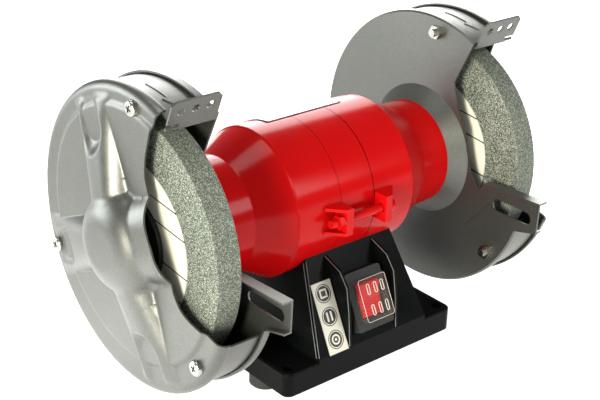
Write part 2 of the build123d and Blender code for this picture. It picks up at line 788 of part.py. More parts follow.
plate_opening = (
    (-46.6, 97.7), (-25.8, 52.9), (-31.0, 37.0), (-38.0, 24.0), (-42.0, 10.0), (-46.0, -2.0), (-51.4, -9.0),
    (-53.0, -10.2), (-54.8, -9.6), (-58.4, -5.0), (-130.0, -1.1), (-130.0, 97.7),
)
rest_arm = ((-50.0, -5.5), (-58.4, -5.0), (arm_end_y, -2.5), (arm_end_y + 0.6, -23.0), (-84.0, -28.0), (-60.0, -28.0))
cover_opening = (
    (-36.2, 104.0), (-28.4, 82.2), (-19.3, 52.0), (-23.1, 38.6), (-30.5, 26.0), (-38.0, 13.0), (-42.5, 0.0),
    (-44.5, -9.5), (-47.1, -14.3), (-52.9, -21.4), (-64.3, -24.6), (-75.7, -25.7), (-130.0, -41.0), (-130.0, 104.0),
)


def guard_screw_holes(shape, x_from, x_to):
    """Cut the three cover screw holes."""
    for angle in screw_angles:
        y, z = polar(screw_circle, angle)
        shape = shape - rod(x_from, x_to, guard_screw_radius + screw_clearance, y, z)
    return shape


def fit_guard_plate():
    """Right inner guard plate: dish, turned rim, rest arm with slot and stiffening rib."""
    plate = turned((
        (neck_end_x, shaft_hole_radius), (neck_end_x, neck_radius), (plate_x, dish_radius), (plate_x, guard_radius - 1.0),
        (plate_x + 1.0, guard_radius), (plate_x + sheet, guard_radius), (plate_x + sheet, dish_radius - 0.6),
        (neck_end_x + sheet, neck_radius - 0.6), (neck_end_x + sheet, shaft_hole_radius),
    ))
    arm = plate_shape(plate_x, plate_x + sheet, rest_arm)
    plate = plate + arm - plate_shape(plate_x - 20, plate_x + 20, plate_opening)
    rim = tube(plate_x + sheet - 0.2, plate_rim_x, guard_radius, guard_radius - sheet)
    far = 200.0
    front = plate_shape(plate_x - 5, plate_rim_x + 5, ((0, 0), polar(far, -17.6), (-far, 0), polar(far, 64.5)))
    plate = plate + (rim - front)
    top_flange = ((-58.6, -5.0), (arm_end_y, -2.5), (arm_end_y, -2.5 - sheet), (-58.6, -5.0 - sheet))
    low_flange = ((-88.0, -27.0), (arm_end_y + 0.6, -23.0), (arm_end_y + 0.6, -23.0 + sheet), (-88.0, -27.0 + sheet))
    plate = plate + plate_shape(plate_x, arm_flange_x, top_flange) + plate_shape(plate_x, arm_flange_x - 2, low_flange)
    slot = cross_plane(plate_x - 3) * Pos(rest_slot_y, rest_slot_z) * SlotOverall(rest_slot_length, rest_slot_width)
    plate = plate - extrude(slot, amount=8)
    rib_face = Pos(-52.4, -25.9) * Rot(0, 0, 129.8) * SlotOverall(31.0, 5.0)
    rib = extrude(cross_plane(plate_x - 0.9) * rib_face, amount=1.2)
    dent_face = Pos(-52.4, -25.9) * Rot(0, 0, 129.8) * SlotOverall(29.0, 3.0)
    dent = extrude(cross_plane(plate_x + 0.3) * dent_face, amount=sheet)
    plate = plate + rib - dent
    for angle in plate_screw_angles:
        y, z = polar(plate_screw_circle, angle)
        plate = plate - rod(neck_end_x - 2, neck_end_x + 4, guard_screw_radius + screw_clearance, y, z)
    return guard_screw_holes(plate, plate_x - 3, plate_x + 5)


def fit_guard_band():
    """Right guard band with the three-hole tab and the raised arrow."""
    outer = band_radius
    start_x = plate_x + sheet
    end_x = cover_edge_x + band_overlap
    ring = tube(start_x, end_x, outer, outer - sheet)
    far = 200.0
    front = plate_shape(start_x - 5, end_x + 5, ((0, 0), polar(far, band_end_angle), (-far, 0), polar(far, band_start_angle)))
    band = ring - front
    tab_y, tab_z = polar(outer - sheet, band_start_angle)
    place = Pos(0, tab_y, axis_height + tab_z) * Rot(90 - 68.0, 0, 0)
    middle = (tab_inner_x + tab_outer_x) / 2
    tab = Pos(middle, -sheet / 2 + 0.3, tab_height / 2) * Box(tab_outer_x - tab_inner_x, sheet, tab_height)
    corners = tab.edges().filter_by(Axis.Y).group_by(Axis.Z)[-1]
    tab = chamfer(corners, 2.5)
    for i in range(3):
        hole = Pos(tab_hole_x + tab_hole_pitch * i, 0, tab_hole_height) * Rot(90, 0, 0) * Cylinder(tab_hole_radius, 6.0)
        tab = tab - hole
    foot = Pos((start_x + end_x) / 2, 0, 0.4) * Box(end_x - start_x - 1.0, 1.6, 2.0)
    body = place * (tab + foot)
    cleared = body - tube(cover_edge_x - 0.4, cover_ring_x + 2, guard_radius + 0.5, outer)
    return band + cleared + arrow()


def arrow():
    """Raised arrow on top of the band that shows the direction of rotation."""
    outer = band_radius
    middle = 115.0
    outline = Polygon(
        (middle - 1.6, 14.0), (middle + 1.6, 14.0), (middle + 1.6, -6.0), (middle + 4.6, -6.0), (middle, -15.0),
        (middle - 4.6, -6.0), (middle - 1.6, -6.0), align=None,
    )
    prism = extrude(Plane.XY.offset(axis_height + outer - 8) * outline, amount=20, dir=(0, 0, 1))
    shell = tube(middle - 10, middle + 10, outer + 0.5, outer - 0.3)
    return Pos(0, 0, axis_height) * Rot(8.0, 0, 0) * Pos(0, 0, -axis_height) * (prism & shell)


def cover_arm(angle, half_width, inset):
    """One raised arm of the cover, highest at the centre and running out at the rim."""
    sections = []
    for reach, rise in ((8.0, arm_centre_rise), (arm_tip_radius - inset, 0.3)):
        y, z = polar(reach, angle)
        turn = radians(angle)
        place = Plane(
            origin=(0, y, axis_height + z),
            x_dir=(0, -sin(turn), -cos(turn)),
            z_dir=(0, -cos(turn), sin(turn)),
        )
        base = cover_ring_x - 2 * sheet
        foot = half_width - inset
        top = foot - arm_draft * (0.25 + 0.75 * rise / arm_centre_rise)
        crest = cover_face_x + rise - inset
        sections.append((place * Polygon((-foot, base), (foot, base), (top, crest), (-top, crest), align=None)).face())
    return loft(sections)


def cover_scoop(angle, inset):
    """U-shaped hollow at the outer end of an arm."""
    half = scoop_half_width + inset
    length = guard_radius - scoop_start + 20
    face = Pos(scoop_start - inset + length / 2, 0) * SlotOverall(length, 2 * half)
    start = cross_plane(cover_ring_x - inset)
    return extrude(start * Rot(0, 0, 180 - angle) * face, amount=25)


def cover_block(inset, start_x):
    """Filled shape of the cover with every face moved in by inset."""
    rim = guard_radius - inset
    ring_x = cover_ring_x - inset
    face_x = cover_face_x - inset
    roll = []
    for turn in (0.0, 22.5, 45.0, 67.5):
        drop = cover_roll * (1 - sin(radians(turn)))
        back = cover_roll * (1 - cos(radians(turn)))
        roll.append((ring_x - drop, rim - back))
    block = turned((
        (start_x, 0), (start_x, rim), *roll, (ring_x, rim - cover_roll),
        (ring_x, cover_step_radius + 1.5 - inset), (face_x, cover_step_radius - 1.5 - inset), (face_x, 0),
    ))
    for angle in arm_angles:
        arm = cover_arm(angle, arm_half_width, inset) - cover_scoop(angle, inset)
        block = block + arm
    block = block + cover_arm(front_arm_angle, front_arm_half_width, inset)
    dome_top = dome_x - inset
    dome = dome_radius - inset
    block = block + turned((
        (start_x, 0), (start_x, dome + 3.0), (cover_face_x, dome + 3.0), (dome_top - 3.0, dome),
        (dome_top - 1.0, dome - 1.0), (dome_top, dome - 3.0), (dome_top, 0),
    ))
    return block & tube(start_x, dome_x + 5, rim)


def fit_guard_cover():
    """Right outer guard cover with dome, raised arms, scoops and the work opening."""
    cover = cover_block(0.0, cover_edge_x) - cover_block(sheet, cover_edge_x - 1)
    cover = cover - plate_shape(cover_edge_x - 5, dome_x + 5, cover_opening)
    return guard_screw_holes(cover, cover_edge_x - 2, cover_ring_x + 5)


def fit_cover_screws():
    """Long pan head screws through cover and inner plate, on both sides."""
    screws = []
    for angle in screw_angles:
        y, z = polar(screw_circle, angle)
        shank = rod(plate_x - 6.0, cover_ring_x, guard_screw_radius, y, z)
        head = rod(cover_ring_x, cover_ring_x + 3.0, 4.7, y, z)
        head = fillet(head.edges().filter_by(GeomType.CIRCLE).sort_by(Axis.X)[-1], 1.6)
        recess = Pos(cover_ring_x + 3.0, y, axis_height + z) * Rot(20, 0, 0) * (Box(3.6, 4.6, 1.1) + Box(3.6, 1.1, 4.6))
        screws.append(head + shank - recess)
    return both_sides(group(*screws))


def fit_cover_nuts():
    """Nuts of the cover screws on the motor side."""
    nuts = []
    for angle in screw_angles:
        y, z = polar(screw_circle, angle)
        nuts.append(hex_nut(plate_x - 3.6, plate_x, 8.0, guard_screw_radius, y, z))
    return both_sides(group(*nuts))


def fit_plate_screws():
    """Screws that hold the inner plates to the end bells."""
    screws = []
    seat = neck_end_x + sheet
    for angle in plate_screw_angles:
        y, z = polar(plate_screw_circle, angle)
        shank = rod(neck_end_x - 10.0, seat, guard_screw_radius, y, z)
        head = rod(seat, seat + 3.0, 4.4, y, z)
        recess = Pos(seat + 3.0, y, axis_height + z) * (Box(3.2, 4.4, 1.0) + Box(3.2, 1.0, 4.4))
        screws.append(head + shank - recess)
    return both_sides(group(*screws))


parts = {
    "base_housing": fit_base_housing,
    "bottom_plate": fit_bottom_plate,
    "rubber_feet": fit_rubber_feet,
    "foot_screws": fit_foot_screws,
    "switch_bezel": fit_switch_bezel,
    "switch_body": fit_switch_body,
    "rocker": fit_rocker,
    "switch_cover": fit_switch_cover,
    "symbol_strip": fit_symbol_strip,
    "cable_gland": fit_cable_gland,
    "cable_gland_nut": fit_cable_gland_nut,
    "capacitor": fit_capacitor,
    "capacitor_clips": fit_capacitor_clamp,
    "terminal_block": fit_terminal_block,
    "motor_leads": fit_motor_leads,
    "lead_grommet": fit_lead_grommet,
    "saddle_screws": fit_saddle_screws,
    "stator_shell": fit_stator_shell,
    "end_bell_right": fit_end_bell,
    "end_bell_left": fit_end_bell_left,
    "stator_core": fit_stator_core,
    "stator_windings": fit_stator_windings,
    "tie_bolts": fit_tie_bolts,
    "tie_nuts": fit_tie_nuts,
    "rating_plate": fit_rating_plate,
    "bearing_outer_races": fit_bearing_outer_races,
    "bearing_inner_races": fit_bearing_inner_races,
    "bearing_balls": fit_bearing_balls,
    "bearing_shields": fit_bearing_shields,
    "wave_washer": fit_wave_washer,
    "shaft": fit_shaft,
    "rotor_core": fit_rotor_core,
    "rotor_cage": fit_rotor_cage,
    "inner_flanges": lambda: both_sides(fit_inner_flange()),
    "outer_flanges": lambda: both_sides(fit_outer_flange()),
    "wheel_right": fit_wheel,
    "wheel_left": lambda: left_of(fit_wheel()),
    "wheel_bushes": fit_wheel_bushes,
    "blotters": fit_blotters,
    "spindle_nut_right": fit_spindle_nut,
    "spindle_nut_left": lambda: left_of(fit_spindle_nut()),
    "guard_plate_right": fit_guard_plate,
    "guard_plate_left": lambda: left_of(fit_guard_plate()),
    "guard_band_right": fit_guard_band,
    "guard_band_left": lambda: left_of(fit_guard_band()),
    "guard_cover_right": fit_guard_cover,
    "guard_cover_left": lambda: left_of(fit_guard_cover()),
    "cover_screws": fit_cover_screws,
    "cover_nuts": fit_cover_nuts,
    "plate_screws": fit_plate_screws,
}

os.makedirs("parts", exist_ok=True)
for name, make in parts.items():
    shape = make()
    export_step(shape, f"parts/{name}.step")
    box = shape.bounding_box()
    print(name, len(shape.solids()), [round(v, 1) for v in (*box.min, *box.max)])
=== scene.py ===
import bmesh
import bpy
import math
import numpy as np
from mathutils import Matrix, Vector


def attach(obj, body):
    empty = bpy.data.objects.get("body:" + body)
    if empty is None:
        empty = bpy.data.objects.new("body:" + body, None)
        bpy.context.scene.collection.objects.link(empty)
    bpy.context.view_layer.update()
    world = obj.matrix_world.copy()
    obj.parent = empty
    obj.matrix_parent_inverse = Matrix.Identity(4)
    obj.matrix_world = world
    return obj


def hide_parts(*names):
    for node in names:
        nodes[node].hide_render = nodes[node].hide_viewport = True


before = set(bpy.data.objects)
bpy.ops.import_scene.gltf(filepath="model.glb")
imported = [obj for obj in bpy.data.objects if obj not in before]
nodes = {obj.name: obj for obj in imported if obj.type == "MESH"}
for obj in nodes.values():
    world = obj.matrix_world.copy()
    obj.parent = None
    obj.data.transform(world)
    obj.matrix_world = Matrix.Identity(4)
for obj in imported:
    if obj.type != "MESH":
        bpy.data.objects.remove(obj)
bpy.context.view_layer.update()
mm = 0.001
axisHeight = 104.0  # spindle axis above the bench, in millimetres like all sizes below
print("frame loaded:", len(nodes), "nodes")


# One wrapped socket: arithmetic on it adds Math nodes.
class Flow:
    def __init__(self, tree, socket):
        self.tree, self.socket = tree, socket

    def math(self, operation, *values):
        return self.node("ShaderNodeMath", {"operation": operation}, dict(enumerate(values)))

    def __add__(self, other): return self.math("ADD", self, other)
    def __radd__(self, other): return self.math("ADD", other, self)
    def __sub__(self, other): return self.math("SUBTRACT", self, other)
    def __rsub__(self, other): return self.math("SUBTRACT", other, self)
    def __mul__(self, other): return self.math("MULTIPLY", self, other)
    def __rmul__(self, other): return self.math("MULTIPLY", other, self)
    def __truediv__(self, other): return self.math("DIVIDE", self, other)
    def __rtruediv__(self, other): return self.math("DIVIDE", other, self)
    def __pow__(self, other): return self.math("POWER", self, other)
    def __abs__(self): return self.math("ABSOLUTE", self)
    def __lt__(self, other): return self.math("LESS_THAN", self, other)
    def __gt__(self, other): return self.math("GREATER_THAN", self, other)
    def __or__(self, other): return self.math("MAXIMUM", self, other)
    def __and__(self, other): return self.math("MINIMUM", self, other)

    # Any other node: its type, settings made first, then values or links for its sockets.
    # It gives one output, or all of them with output None.
    def node(self, kind, settings=None, values=None, output=0):
        made = self.tree.nodes.new(kind)
        for key, value in (settings or {}).items():
            if key == "stops":
                ramp = made.color_ramp
                while len(ramp.elements) > 1:
                    ramp.elements.remove(ramp.elements[-1])
                for i, (at, colour) in enumerate(value):
                    stop = ramp.elements[0] if i == 0 else ramp.elements.new(at)
                    stop.position, stop.color = at, tuple(colour) + (1.0,)
            else:
                setattr(made, key, value)
        for key, value in (values or {}).items():
            socket = made.inputs[key]
            if isinstance(value, Flow):
                self.tree.links.new(value.socket, socket)
            elif isinstance(value, (tuple, list)) and socket.type == "RGBA" and len(value) == 3:
                socket.default_value = tuple(value) + (1.0,)
            else:
                socket.default_value = value
        if output is None:
            return [Flow(self.tree, socket) for socket in made.outputs]
        return Flow(self.tree, made.outputs[output] if made.outputs else None)

    def mixed(self, low, high):  # colour between low and high by this number
        return self.node("ShaderNodeMix", {"data_type": "RGBA"}, {0: self, 6: low, 7: high}, 2)

    def smooth(self, low, high):  # 0 below low, 1 above high, eased between
        limits = {"Value": self, "From Min": low, "From Max": high, "To Min": 0.0, "To Max": 1.0}
        return self.node("ShaderNodeMapRange", {"interpolation_type": "SMOOTHSTEP"}, limits)

    def ramp(self, *pairs):  # colour by this number, from pairs of place and colour
        return self.node("ShaderNodeValToRGB", {"stops": pairs}, {"Fac": self})

    def bump(self, strength, distance):  # normal of a surface with this height
        values = {"Height": self, "Strength": strength, "Distance": distance}
        return self.node("ShaderNodeBump", None, values)

    # From here on self is a place in space.
    def noise(self, scale, detail=2.0, rough=0.5):
        values = {"Vector": self, "Scale": scale, "Detail": detail, "Roughness": rough}
        return self.node("ShaderNodeTexNoise", None, values)

    def cells(self, scale):  # one random number for each cell
        values = {"Vector": self, "Scale": scale}
        colour = self.node("ShaderNodeTexVoronoi", None, values, "Color")
        return colour.node("ShaderNodeSeparateColor", None, {"Color": colour})

    def stretched(self, x, y, z):
        return self.node("ShaderNodeMapping", None, {"Vector": self, "Scale": (x, y, z)})

    def parts(self):  # x, y, z in millimetres
        split = self.node("ShaderNodeSeparateXYZ", None, {0: self}, None)
        return [part * 1000.0 for part in split]


# A new material: constants go on the shader's own sockets, build gives the ones that vary.
def makeMaterial(name, constants, build):
    material = bpy.data.materials.new(name)
    material.use_nodes = True
    tree = material.node_tree
    tree.nodes.clear()
    start = Flow(tree, None)
    shader = start.node("ShaderNodeBsdfPrincipled", None, constants)
    place = start.node("ShaderNodeTexCoord", output="Object")
    for key, value in build(place).items():
        tree.links.new(value.socket, shader.socket.node.inputs[key])
    start.node("ShaderNodeOutputMaterial", None, {"Surface": shader})
    return material


panelLean = math.radians(27.25)
panelOrigin = (0.0, -66.5, 26.0)


def fromSpindle(y, z):  # distance from the spindle axis
    return (y * y + (z - axisHeight) ** 2.0) ** 0.5


def anyOf(marks):  # 1 where any of the marks is 1
    total = marks[0]
    for mark in marks[1:]:
        total = total | mark
    return total


def slopePlace(place):  # across, and up the front panel's slope
    x, y, z = place.parts()
    dy, dz = y - panelOrigin[1], z - panelOrigin[2]
    return x, dy * math.sin(panelLean) + dz * math.cos(panelLean)


redPaint = {"deep": (0.45, 0.002, 0.003), "light": (0.53, 0.004, 0.004),
            "seam": (0.05, 0.001, 0.001), "seamAt": 13.0, "seamHalf": 0.22, "seamReach": 46.7}


# Gloss red with a slight orange peel, and a dark line at each side of the motor's middle ring.
def motorRed(place):
    x, y, _ = place.parts()
    cloud = place.noise(18.0, 3.0)
    seam = abs(abs(x) - redPaint["seamAt"]) < redPaint["seamHalf"]
    seam = seam & (abs(y) < redPaint["seamReach"])
    red = cloud.mixed(redPaint["deep"], redPaint["light"])
    return {"Base Color": seam.mixed(red, redPaint["seam"]),
            "Roughness": 0.12 + 0.08 * place.noise(60.0, 4.0),
            "Normal": place.noise(420.0).bump(0.05, 0.0003)}


silverPaint = {"base": (0.098, 0.101, 0.092), "flake": (0.215, 0.218, 0.20)}


# Silver paint: small bright flakes over broad soft patches.
def guardSilver(place):
    flake = place.cells(4200.0)
    tone = flake.smooth(0.62, 1.0) * 0.45 + place.noise(14.0, 3.0) * 0.3
    grain = place.noise(900.0) + flake * 0.3
    return {"Base Color": tone.mixed(silverPaint["base"], silverPaint["flake"]),
            "Roughness": 0.33 + 0.10 * place.noise(120.0, 4.0), "Normal": grain.bump(0.08, 0.0003)}


blackPaint = {"deep": (0.002, 0.0026, 0.0026), "light": (0.005, 0.0065, 0.006)}


# Near-black enamel, unevenly polished.
def shellBlack(place):
    smear = place.noise(35.0, 4.0)
    return {"Base Color": smear.mixed(blackPaint["deep"], blackPaint["light"]),
            "Roughness": 0.16 + 0.16 * smear, "Normal": place.noise(1400.0).bump(0.10, 0.0003)}


stoneGrit = {"dark": (0.014, 0.024, 0.025), "mid": (0.066, 0.088, 0.078),
             "pale": (0.16, 0.185, 0.145), "spark": (0.48, 0.48, 0.37),
             "paleTint": (0.24, 0.27, 0.22), "edge": (72.0, 75.5)}


# Dark and pale grains side by side; near the rim of the wheel they turn paler.
def wheelGrit(place):
    _, y, z = place.parts()
    grain = place.cells(2300.0)
    fine = place.noise(4200.0, 3.0, 0.7)
    colour = (grain * 0.66 + fine * 0.34).ramp(
        (0.20, stoneGrit["dark"]), (0.44, stoneGrit["mid"]),
        (0.62, stoneGrit["pale"]), (0.80, stoneGrit["spark"]))
    paleTint = fromSpindle(y, z).smooth(*stoneGrit["edge"]) * 0.25
    return {"Base Color": paleTint.mixed(colour, stoneGrit["paleTint"]), "Roughness": 0.7 + 0.25 * fine,
            "Normal": (grain * 0.6 + fine * 0.4).bump(0.7, 0.0007)}


creamPaper = {"base": (0.70, 0.69, 0.585), "aged": (0.62, 0.60, 0.49), "ink": (0.016, 0.016, 0.016),
              "rules": (-18.9, -1.8, 20.1, 33.1), "ruleHalf": 0.42, "lean": (0.99, 0.10),
              "edge": (46.8, 48.2)}


# Cream paper with four printed rules on a slight lean; the edge of the disc is aged.
def paperPrint(place):
    _, y, z = place.parts()
    rise, lean = creamPaper["lean"]
    across = (z - axisHeight) * rise - y * lean
    rules = anyOf([abs(across - at) < creamPaper["ruleHalf"] for at in creamPaper["rules"]])
    fibre = place.noise(900.0, 4.0, 0.7)
    edge = fromSpindle(y, z).smooth(*creamPaper["edge"])
    paper = (fibre * 0.5 + edge * 0.5).mixed(creamPaper["base"], creamPaper["aged"])
    return {"Base Color": rules.mixed(paper, creamPaper["ink"]), "Roughness": 0.62 + 0.2 * fibre,
            "Normal": fibre.bump(0.2, 0.0002)}


# Metal with streaks along z that darken it and roughen it.
def scuffedMetal(base, rough, scale):
    def build(place):
        streak = place.stretched(1.0, 1.0, 3.0).noise(scale, 6.0, 0.75)
        return {"Base Color": streak.mixed([c * 0.7 for c in base], base),
                "Roughness": rough + 0.22 * streak, "Normal": streak.bump(0.08, 0.0002)}
    return build


# Plastic or rubber, slightly cloudy, with a fine grain.
def mouldedPlastic(base, rough):
    def build(place):
        cloud = place.noise(60.0, 4.0)
        return {"Base Color": cloud.mixed([c * 0.8 for c in base], base),
                "Roughness": rough + 0.15 * cloud, "Normal": place.noise(1500.0).bump(0.1, 0.0002)}
    return build


signStrip = {"x": -28.3, "up": (7.7, 21.9, 36.1), "radius": 5.75, "rim": 4.9, "rimHalf": 0.28,
             "ring": 2.6, "dot": 0.9, "bars": 1.5, "barHalf": 0.65, "barReach": 2.9,
             "square": 2.2, "lineHalf": 0.55, "middle": 21.5, "inside": (7.45, 21.75)}


# Paper strip with a dark frame and three dark discs: a ring with a dot, two bars, a square.
def stripPrint(place):
    x, up = slopePlace(place)
    across = x - signStrip["x"]
    discs = []
    for i, middle in enumerate(signStrip["up"]):
        along = up - middle
        far = (across * across + along * along) ** 0.5
        if i == 0:
            ring = abs(far - signStrip["ring"]) < signStrip["lineHalf"]
            sign = ring | (far < signStrip["dot"])
        elif i == 1:
            bars = abs(abs(across) - signStrip["bars"]) < signStrip["barHalf"]
            sign = bars & (abs(along) < signStrip["barReach"])
        else:
            sign = abs((abs(across) | abs(along)) - signStrip["square"]) < signStrip["lineHalf"]
        rim = abs(far - signStrip["rim"]) < signStrip["rimHalf"]
        discs.append((far < signStrip["radius"]) * (1.0 - (rim | sign)))
    halfAcross, halfUp = signStrip["inside"]
    border = (abs(across) > halfAcross) | (abs(up - signStrip["middle"]) > halfUp)
    fibre = place.noise(700.0, 3.0)
    paper = fibre.mixed(creamPaper["base"], creamPaper["aged"])
    return {"Base Color": (anyOf(discs) | border).mixed(paper, creamPaper["ink"]),
            "Roughness": 0.28 + 0.15 * fibre, "Normal": fibre.bump(0.05, 0.0002)}


ratingInk = {"metal": (0.42, 0.43, 0.42), "bright": (0.52, 0.53, 0.51), "ink": (0.03, 0.032, 0.034),
             "middle": -2.0, "half": 28.2, "y": (3.3, 29.8), "rowPitch": 3.6, "rowInk": 0.36,
             "wordHalf": 25.0, "wordShare": 0.46}


# Pale plate with a dark border and rows of plain dark bars.
def ratingPrint(place):
    x, y, _ = place.parts()
    across = abs(x - ratingInk["middle"])
    front, rear = ratingInk["y"]
    border = (across > ratingInk["half"]) | ((y > rear) | (y < front))
    row = y.math("FRACT", y / ratingInk["rowPitch"])
    words = place.stretched(1.0, 0.02, 0.02).noise(420.0, 1.0) > ratingInk["wordShare"]
    words = (row < ratingInk["rowInk"]) & words & (across < ratingInk["wordHalf"])
    paleTint = place.noise(160.0, 4.0)
    metal = paleTint.mixed(ratingInk["metal"], ratingInk["bright"])
    return {"Base Color": (border | words).mixed(metal, ratingInk["ink"]),
            "Roughness": 0.22 + 0.2 * paleTint, "Normal": paleTint.bump(0.05, 0.0002)}


# Clear sheet: only a little of its own colour, with faint haze.
def clearFilm(place):
    haze = place.noise(60.0, 1.0)
    return {"Roughness": 0.05 + 0.05 * haze, "Alpha": 0.08 + 0.03 * haze}


floorGlow = {"slope": (0.88, 0.47), "start": (-200.0, -20.0), "fade": (80.0, 330.0), "dim": 0.9,
             "pool": (-235.0, 45.0), "poolFade": (40.0, 190.0), "poolGain": 1.9}


# White floor that glows though it is no lamp, as painted light: the glow fades out to the left and
# rear along one slanting line, with a brighter round pool of painted light beside the left guard.
def floorPale(place):
    x, y, _ = place.parts()
    slopeX, slopeY = floorGlow["slope"]
    startX, startY = floorGlow["start"]
    poolX, poolY = floorGlow["pool"]
    beside = (y - startY) * slopeY - (x - startX) * slopeX
    far = ((x - poolX) ** 2.0 + (y - poolY) ** 2.0) ** 0.5
    pool = 1.0 - far.smooth(*floorGlow["poolFade"])
    fade = beside.smooth(*floorGlow["fade"])
    gain = floorGlow["poolGain"]
    glow = (1.0 - floorGlow["dim"] * fade + gain * pool) / (1.0 + gain)
    return {"Base Color": place.noise(3.0).mixed((0.88, 0.88, 0.88), (0.91, 0.91, 0.91)),
            "Emission Color": glow.mixed((0.0, 0.0, 0.0), (1.0, 1.0, 1.0))}


recipes = {
    "motorRed": ({"Specular IOR Level": 0.12, "IOR": 1.5}, motorRed),
    "guardSilver": ({"Metallic": 0.85}, guardSilver),
    "shellBlack": ({"Specular IOR Level": 0.05}, shellBlack),
    "wheelGrit": ({"Specular IOR Level": 0.35}, wheelGrit),
    "paperPrint": ({"Specular IOR Level": 0.3}, paperPrint),
    "stripPrint": ({"Coat Weight": 0.3}, stripPrint),
    "ratingPrint": ({"Metallic": 0.4}, ratingPrint),
    "clearFilm": ({"Base Color": (0.20, 0.17, 0.15), "Specular IOR Level": 0.2}, clearFilm),
    # clearRib: the clear cover's ribs drawn pale and opaque, a painted highlight where clear
    # plastic catches light
    "clearRib": ({"IOR": 1.45}, mouldedPlastic((0.62, 0.58, 0.50), 0.15)),
    # edgeSheen: a grey far paler than the black body, a painted highlight for the beads on the
    # panel's edges
    "edgeSheen": ({"Specular IOR Level": 0.6}, mouldedPlastic((0.16, 0.165, 0.16), 0.3)),
    "zincPlate": ({"Metallic": 1.0}, scuffedMetal((0.50, 0.50, 0.46), 0.14, 500.0)),
    "darkSteel": ({"Metallic": 0.6}, scuffedMetal((0.035, 0.045, 0.04), 0.3, 300.0)),
    "footRubber": ({}, mouldedPlastic((0.02, 0.02, 0.02), 0.65)),
    "blackSatin": ({}, mouldedPlastic((0.02, 0.021, 0.021), 0.4)),
    "bezelBlack": ({}, mouldedPlastic((0.014, 0.016, 0.013), 0.5)),
    "rockerRed": ({"Specular IOR Level": 0.3}, mouldedPlastic((0.80, 0.004, 0.014), 0.3)),
    "coreSteel": ({"Metallic": 0.8}, scuffedMetal((0.35, 0.35, 0.36), 0.4, 800.0)),
    "copperWire": ({"Metallic": 0.9}, scuffedMetal((0.60, 0.26, 0.12), 0.3, 900.0)),
    "castAluminium": ({"Metallic": 1.0}, scuffedMetal((0.70, 0.70, 0.71), 0.4, 200.0)),
    "shaftSteel": ({"Metallic": 1.0}, scuffedMetal((0.55, 0.55, 0.56), 0.2, 400.0)),
    "greyPlastic": ({}, mouldedPlastic((0.45, 0.46, 0.47), 0.4)),
    # the floor's emission is painted light: it shines though it is no lamp
    "floorPale": ({"Roughness": 0.9, "Specular IOR Level": 0.0, "Emission Strength": 2.0},
                  floorPale),
}
finishes = {name: makeMaterial(name, *recipe) for name, recipe in recipes.items()}
nodeFinish = {
    "shellBlack": ["base_housing"],
    "bezelBlack": ["switch_bezel"],
    "rockerRed": ["rocker"],
    "clearFilm": ["switch_cover"],
    "stripPrint": ["symbol_strip"],
    "ratingPrint": ["rating_plate"],
    "paperPrint": ["blotters"],
    "footRubber": ["rubber_feet", "lead_grommet"],
    "blackSatin": ["switch_body", "cable_gland", "cable_gland_nut", "motor_leads"],
    "greyPlastic": ["capacitor", "terminal_block", "wheel_bushes"],
    "motorRed": ["stator_shell", "end_bell_right", "end_bell_left", "tie_bolts", "tie_nuts"],
    "wheelGrit": ["wheel_right", "wheel_left"],
    "guardSilver": ["guard_plate_right", "guard_plate_left", "guard_band_right",
                    "guard_band_left", "guard_cover_right", "guard_cover_left"],
    "zincPlate": ["foot_screws", "cover_screws", "cover_nuts", "plate_screws", "saddle_screws",
                  "spindle_nut_right", "spindle_nut_left"],
    "darkSteel": ["inner_flanges", "outer_flanges"],
    "coreSteel": ["capacitor_clips", "bottom_plate", "stator_core", "rotor_core"],
    "shaftSteel": ["bearing_outer_races", "bearing_inner_races", "bearing_balls",
                   "bearing_shields", "wave_washer", "shaft"],
    "copperWire": ["stator_windings"],
    "castAluminium": ["rotor_cage"],
}
for finish, names in nodeFinish.items():
    for name in names:
        nodes[name].material_slots[0].material = finishes[finish]
print("materials on", sum(len(names) for names in nodeFinish.values()), "nodes")


# A sheet of quads over a grid of points (rows, columns, 3) in millimetres. Flip turns the faces
# over, wrapped joins the last column to the first, and doubles such as poles are welded.
def gridPiece(name, points, finish, body, flip=False, wrapped=False):
    weld = 1e-7
    rows, columns = points.shape[:2]
    index = np.arange(rows * columns).reshape(rows, columns)
    if wrapped:
        index = np.concatenate([index, index[:, :1]], axis=1)
    corners = [index[:-1, :-1], index[:-1, 1:], index[1:, 1:], index[1:, :-1]]
    quads = np.stack(corners, axis=-1).reshape(-1, 4)
    if flip:
        quads = quads[:, ::-1]
    mesh = bpy.data.meshes.new(name)
    mesh.from_pydata((points.reshape(-1, 3) * mm).tolist(), [], quads.tolist())
    shape = bmesh.new()
    shape.from_mesh(mesh)
    bmesh.ops.remove_doubles(shape, verts=shape.verts, dist=weld)
    bmesh.ops.dissolve_degenerate(shape, edges=shape.edges, dist=weld)
    shape.to_mesh(mesh)
    shape.free()
    mesh.polygons.foreach_set("use_smooth", [True] * len(mesh.polygons))
    piece = bpy.data.objects.new(name, mesh)
    bpy.context.collection.objects.link(piece)
    piece.data.materials.append(finishes[finish])
    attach(piece, body)
    return piece


def addSolidify(piece, thickness):
    wall = piece.modifiers.new("wall", "SOLIDIFY")
    wall.thickness, wall.offset, wall.use_even_offset = thickness * mm, -1.0, False


def addBevel(piece, width):
    rounding = piece.modifiers.new("edge", "BEVEL")
    rounding.width, rounding.segments = width * mm, 2
    rounding.limit_method, rounding.angle_limit = "ANGLE", math.radians(50.0)
    rounding.use_clamp_overlap = True


def eased(t):  # 0 to 1 as 3 t^2 - 2 t^3
    t = np.clip(t, 0.0, 1.0)
    return t * t * (3.0 - 2.0 * t)


def softMax(a, b, width):  # the larger of two heights, their corner rounded over width
    mix = np.clip(0.5 + 0.5 * (a - b) / width, 0.0, 1.0)
    return b + (a - b) * mix + width * mix * (1.0 - mix)


